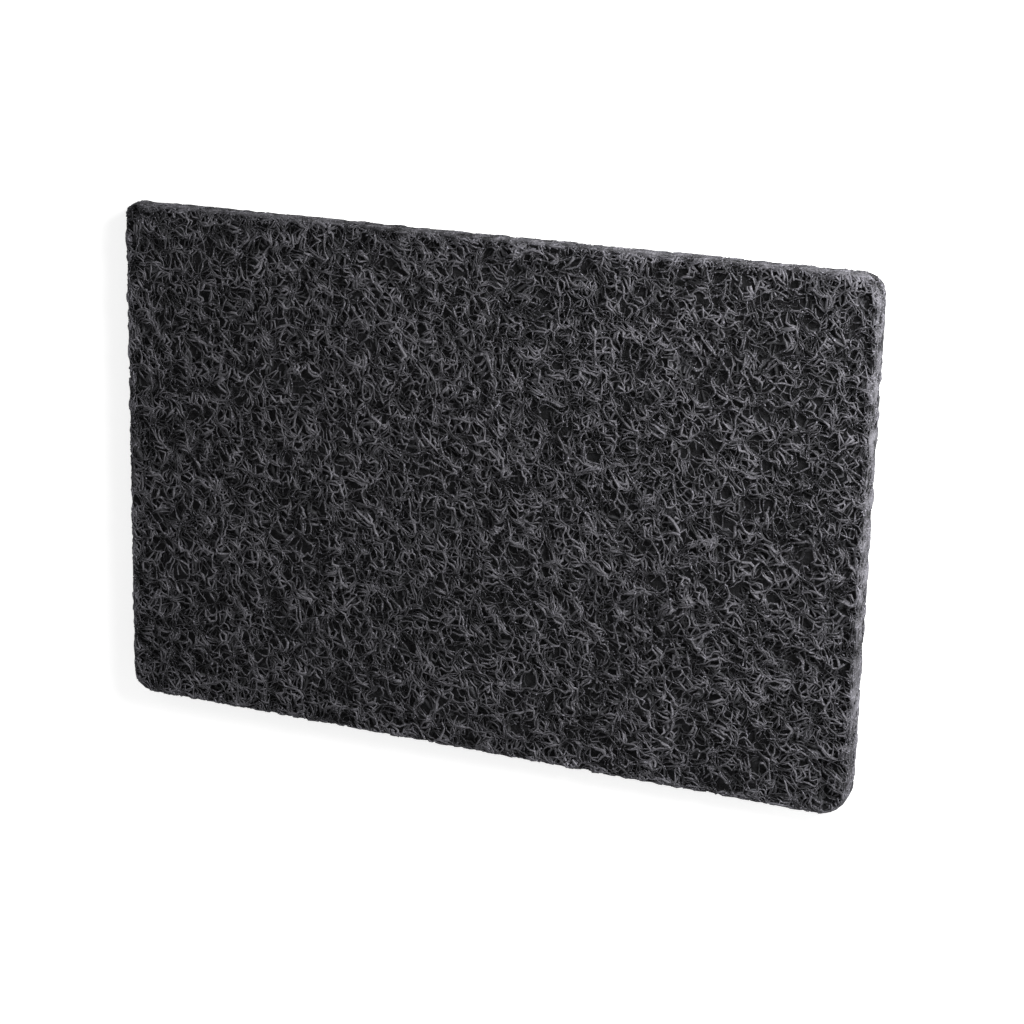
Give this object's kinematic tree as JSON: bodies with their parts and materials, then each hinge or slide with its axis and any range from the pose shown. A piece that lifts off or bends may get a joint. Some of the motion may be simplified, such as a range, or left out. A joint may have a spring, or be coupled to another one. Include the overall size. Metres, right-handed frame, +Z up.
{
  "type": "scouring pad",
  "caption": "Flat rectangular scouring pad of black non-woven abrasive web with rounded corners, for scrubbing by hand or under a flat holder.",
  "frame": {"origin": "middle of the underside, on the surface that the pad lies on", "axes": "+X along the pad's length, +Y along its width, +Z up through its thickness; the face that the picture shows is the upper one"},
  "size_m": [0.2286, 0.1524, 0.009],
  "materials": {
    "abrasive_web": "rough open web of crimped nylon fibres coated with resin and grit"
  },
  "bodies": {
    "root": {"scouring_pad": "abrasive_web"}
  },
  "joints": []
}
